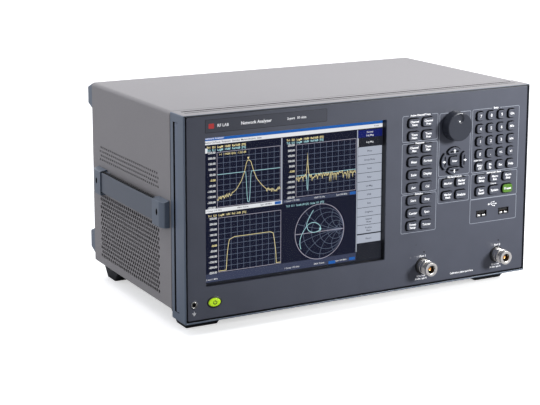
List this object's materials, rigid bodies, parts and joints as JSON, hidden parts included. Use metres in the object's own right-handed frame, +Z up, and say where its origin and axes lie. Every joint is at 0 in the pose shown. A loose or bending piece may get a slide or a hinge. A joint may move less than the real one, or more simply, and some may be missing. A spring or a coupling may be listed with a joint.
{
  "type": "vector network analyzer",
  "caption": "Bench-top vector network analyzer: framed front panel with display, keypad, knob, USB sockets and coaxial test ports, wrap-round cover, side strap handles and rubber feet.",
  "frame": {"origin": "on the bench, under the middle of the whole object's box", "axes": "+Z up, +Y from the front panel to the rear, +X to the right seen from the front"},
  "size_m": [0.447, 0.2696, 0.2265],
  "materials": {
    "frame_paint": "blue-grey fine texture paint on die-cast aluminium",
    "trim_plastic": "blue-grey satin strip",
    "cover_paint": "warm light grey fine texture paint on sheet",
    "zinc_plate": "plated sheet",
    "panel_paint": "dark slate, fine texture, white print",
    "window_glass": "clear display window",
    "dark_plastic": "black moulded plastic",
    "key_rubber": "dark slate silicone keys",
    "green_rubber": "green silicone key",
    "knob_plastic": "dark slate moulded knob",
    "lime_plastic": "lit lime plastic",
    "board_green": "green glass-epoxy board",
    "nickel": "bright nickel plate",
    "brass_socket": "plated brass",
    "socket_steel": "plated steel shell",
    "handle_plastic": "blue-grey moulded end cap",
    "strap_rubber": "blue-grey rubber over a steel strip",
    "foot_rubber": "black rubber",
    "module_aluminium": "plain machined"
  },
  "bodies": {
    "chassis": {"front_frame": "frame_paint", "side_trim_left": "trim_plastic", "side_trim_right": "trim_plastic", "cover": "cover_paint", "bottom_cover": "zinc_plate", "rear_panel": "zinc_plate", "front_panel": "panel_paint", "display_window": "window_glass", "display_module": "dark_plastic", "key_board": "board_green", "usb_socket_1": "socket_steel", "usb_socket_2": "socket_steel", "test_port_1": "nickel", "test_port_2": "nickel", "ground_socket": "brass_socket", "foot_front_left": "foot_rubber", "foot_front_right": "foot_rubber", "foot_rear_left": "foot_rubber", "foot_rear_right": "foot_rubber", "bumper_top_left": "frame_paint", "bumper_top_right": "frame_paint", "bumper_low_left": "frame_paint", "bumper_low_right": "frame_paint", "handle_cap_front_left": "handle_plastic", "handle_cap_front_right": "handle_plastic", "handle_cap_rear_left": "handle_plastic", "handle_cap_rear_right": "handle_plastic", "fan_housing": "dark_plastic", "power_inlet": "dark_plastic", "receiver_module": "module_aluminium", "power_supply": "zinc_plate"},
    "channel_keys_1": {"channel_keys_1": "key_rubber"},
    "channel_keys_2": {"channel_keys_2": "key_rubber"},
    "response_keys_1": {"response_keys_1": "key_rubber"},
    "response_keys_2": {"response_keys_2": "key_rubber"},
    "response_keys_3": {"response_keys_3": "key_rubber"},
    "response_keys_4": {"response_keys_4": "key_rubber"},
    "stimulus_keys_1": {"stimulus_keys_1": "key_rubber"},
    "stimulus_keys_2": {"stimulus_keys_2": "key_rubber"},
    "stimulus_keys_3": {"stimulus_keys_3": "key_rubber"},
    "marker_keys_1": {"marker_keys_1": "key_rubber"},
    "marker_keys_2": {"marker_keys_2": "key_rubber"},
    "entry_keys_1": {"entry_keys_1": "key_rubber"},
    "entry_keys_2": {"entry_keys_2": "key_rubber"},
    "entry_keys_3": {"entry_keys_3": "key_rubber"},
    "entry_keys_4": {"entry_keys_4": "key_rubber"},
    "entry_keys_5": {"entry_keys_5": "key_rubber"},
    "system_keys_1": {"system_keys_1": "key_rubber"},
    "system_keys_2": {"system_keys_2": "key_rubber"},
    "preset_key": {"preset_key": "green_rubber"},
    "arrow_key_up": {"arrow_key_up": "key_rubber"},
    "arrow_key_down": {"arrow_key_down": "key_rubber"},
    "arrow_key_left": {"arrow_key_left": "key_rubber"},
    "arrow_key_right": {"arrow_key_right": "key_rubber"},
    "enter_key": {"enter_key": "key_rubber"},
    "standby_button": {"standby_button": "lime_plastic"},
    "knob": {"knob": "knob_plastic"},
    "handle_grip_left": {"handle_grip_left": "strap_rubber"},
    "handle_grip_right": {"handle_grip_right": "strap_rubber"},
    "fan_rotor": {"fan_rotor": "dark_plastic"}
  },
  "joints": [
    {"name": "channel_keys_1_press", "type": "slide", "parent": "chassis", "child": "channel_keys_1", "axis": [0, 1, 0], "range_m": [0, 0.0012], "stiffness_N_per_m": 800},
    {"name": "channel_keys_2_press", "type": "slide", "parent": "chassis", "child": "channel_keys_2", "axis": [0, 1, 0], "range_m": [0, 0.0012], "stiffness_N_per_m": 800},
    {"name": "response_keys_1_press", "type": "slide", "parent": "chassis", "child": "response_keys_1", "axis": [0, 1, 0], "range_m": [0, 0.0012], "stiffness_N_per_m": 800},
    {"name": "response_keys_2_press", "type": "slide", "parent": "chassis", "child": "response_keys_2", "axis": [0, 1, 0], "range_m": [0, 0.0012], "stiffness_N_per_m": 800},
    {"name": "response_keys_3_press", "type": "slide", "parent": "chassis", "child": "response_keys_3", "axis": [0, 1, 0], "range_m": [0, 0.0012], "stiffness_N_per_m": 800},
    {"name": "response_keys_4_press", "type": "slide", "parent": "chassis", "child": "response_keys_4", "axis": [0, 1, 0], "range_m": [0, 0.0012], "stiffness_N_per_m": 800},
    {"name": "stimulus_keys_1_press", "type": "slide", "parent": "chassis", "child": "stimulus_keys_1", "axis": [0, 1, 0], "range_m": [0, 0.0012], "stiffness_N_per_m": 800},
    {"name": "stimulus_keys_2_press", "type": "slide", "parent": "chassis", "child": "stimulus_keys_2", "axis": [0, 1, 0], "range_m": [0, 0.0012], "stiffness_N_per_m": 800},
    {"name": "stimulus_keys_3_press", "type": "slide", "parent": "chassis", "child": "stimulus_keys_3", "axis": [0, 1, 0], "range_m": [0, 0.0012], "stiffness_N_per_m": 800},
    {"name": "marker_keys_1_press", "type": "slide", "parent": "chassis", "child": "marker_keys_1", "axis": [0, 1, 0], "range_m": [0, 0.0012], "stiffness_N_per_m": 800},
    {"name": "marker_keys_2_press", "type": "slide", "parent": "chassis", "child": "marker_keys_2", "axis": [0, 1, 0], "range_m": [0, 0.0012], "stiffness_N_per_m": 800},
    {"name": "entry_keys_1_press", "type": "slide", "parent": "chassis", "child": "entry_keys_1", "axis": [0, 1, 0], "range_m": [0, 0.0012], "stiffness_N_per_m": 800},
    {"name": "entry_keys_2_press", "type": "slide", "parent": "chassis", "child": "entry_keys_2", "axis": [0, 1, 0], "range_m": [0, 0.0012], "stiffness_N_per_m": 800},
    {"name": "entry_keys_3_press", "type": "slide", "parent": "chassis", "child": "entry_keys_3", "axis": [0, 1, 0], "range_m": [0, 0.0012], "stiffness_N_per_m": 800},
    {"name": "entry_keys_4_press", "type": "slide", "parent": "chassis", "child": "entry_keys_4", "axis": [0, 1, 0], "range_m": [0, 0.0012], "stiffness_N_per_m": 800},
    {"name": "entry_keys_5_press", "type": "slide", "parent": "chassis", "child": "entry_keys_5", "axis": [0, 1, 0], "range_m": [0, 0.0012], "stiffness_N_per_m": 800},
    {"name": "system_keys_1_press", "type": "slide", "parent": "chassis", "child": "system_keys_1", "axis": [0, 1, 0], "range_m": [0, 0.0012], "stiffness_N_per_m": 800},
    {"name": "system_keys_2_press", "type": "slide", "parent": "chassis", "child": "system_keys_2", "axis": [0, 1, 0], "range_m": [0, 0.0012], "stiffness_N_per_m": 800},
    {"name": "preset_key_press", "type": "slide", "parent": "chassis", "child": "preset_key", "axis": [0, 1, 0], "range_m": [0, 0.0012], "stiffness_N_per_m": 800},
    {"name": "arrow_key_up_press", "type": "slide", "parent": "chassis", "child": "arrow_key_up", "axis": [0, 1, 0], "range_m": [0, 0.0012], "stiffness_N_per_m": 800},
    {"name": "arrow_key_down_press", "type": "slide", "parent": "chassis", "child": "arrow_key_down", "axis": [0, 1, 0], "range_m": [0, 0.0012], "stiffness_N_per_m": 800},
    {"name": "arrow_key_left_press", "type": "slide", "parent": "chassis", "child": "arrow_key_left", "axis": [0, 1, 0], "range_m": [0, 0.0012], "stiffness_N_per_m": 800},
    {"name": "arrow_key_right_press", "type": "slide", "parent": "chassis", "child": "arrow_key_right", "axis": [0, 1, 0], "range_m": [0, 0.0012], "stiffness_N_per_m": 800},
    {"name": "enter_key_press", "type": "slide", "parent": "chassis", "child": "enter_key", "axis": [0, 1, 0], "range_m": [0, 0.0012], "stiffness_N_per_m": 800},
    {"name": "standby_button_press", "type": "slide", "parent": "chassis", "child": "standby_button", "axis": [0, 1, 0], "range_m": [0, 0.001], "stiffness_N_per_m": 1000},
    {"name": "knob_turn", "type": "hinge", "parent": "chassis", "child": "knob", "pos_m": [0.1118, -0.1228, 0.1884], "axis": [0, 1, 0], "continuous": true},
    {"name": "handle_grip_left_pull", "type": "slide", "parent": "chassis", "child": "handle_grip_left", "axis": [-1, 0, 0], "range_m": [0, 0.012], "stiffness_N_per_m": 500},
    {"name": "handle_grip_right_pull", "type": "slide", "parent": "chassis", "child": "handle_grip_right", "axis": [1, 0, 0], "range_m": [0, 0.012], "stiffness_N_per_m": 500},
    {"name": "fan_spin", "type": "hinge", "parent": "chassis", "child": "fan_rotor", "pos_m": [0.1325, 0.1042, 0.1325], "axis": [0, 1, 0], "continuous": true}
  ]
}
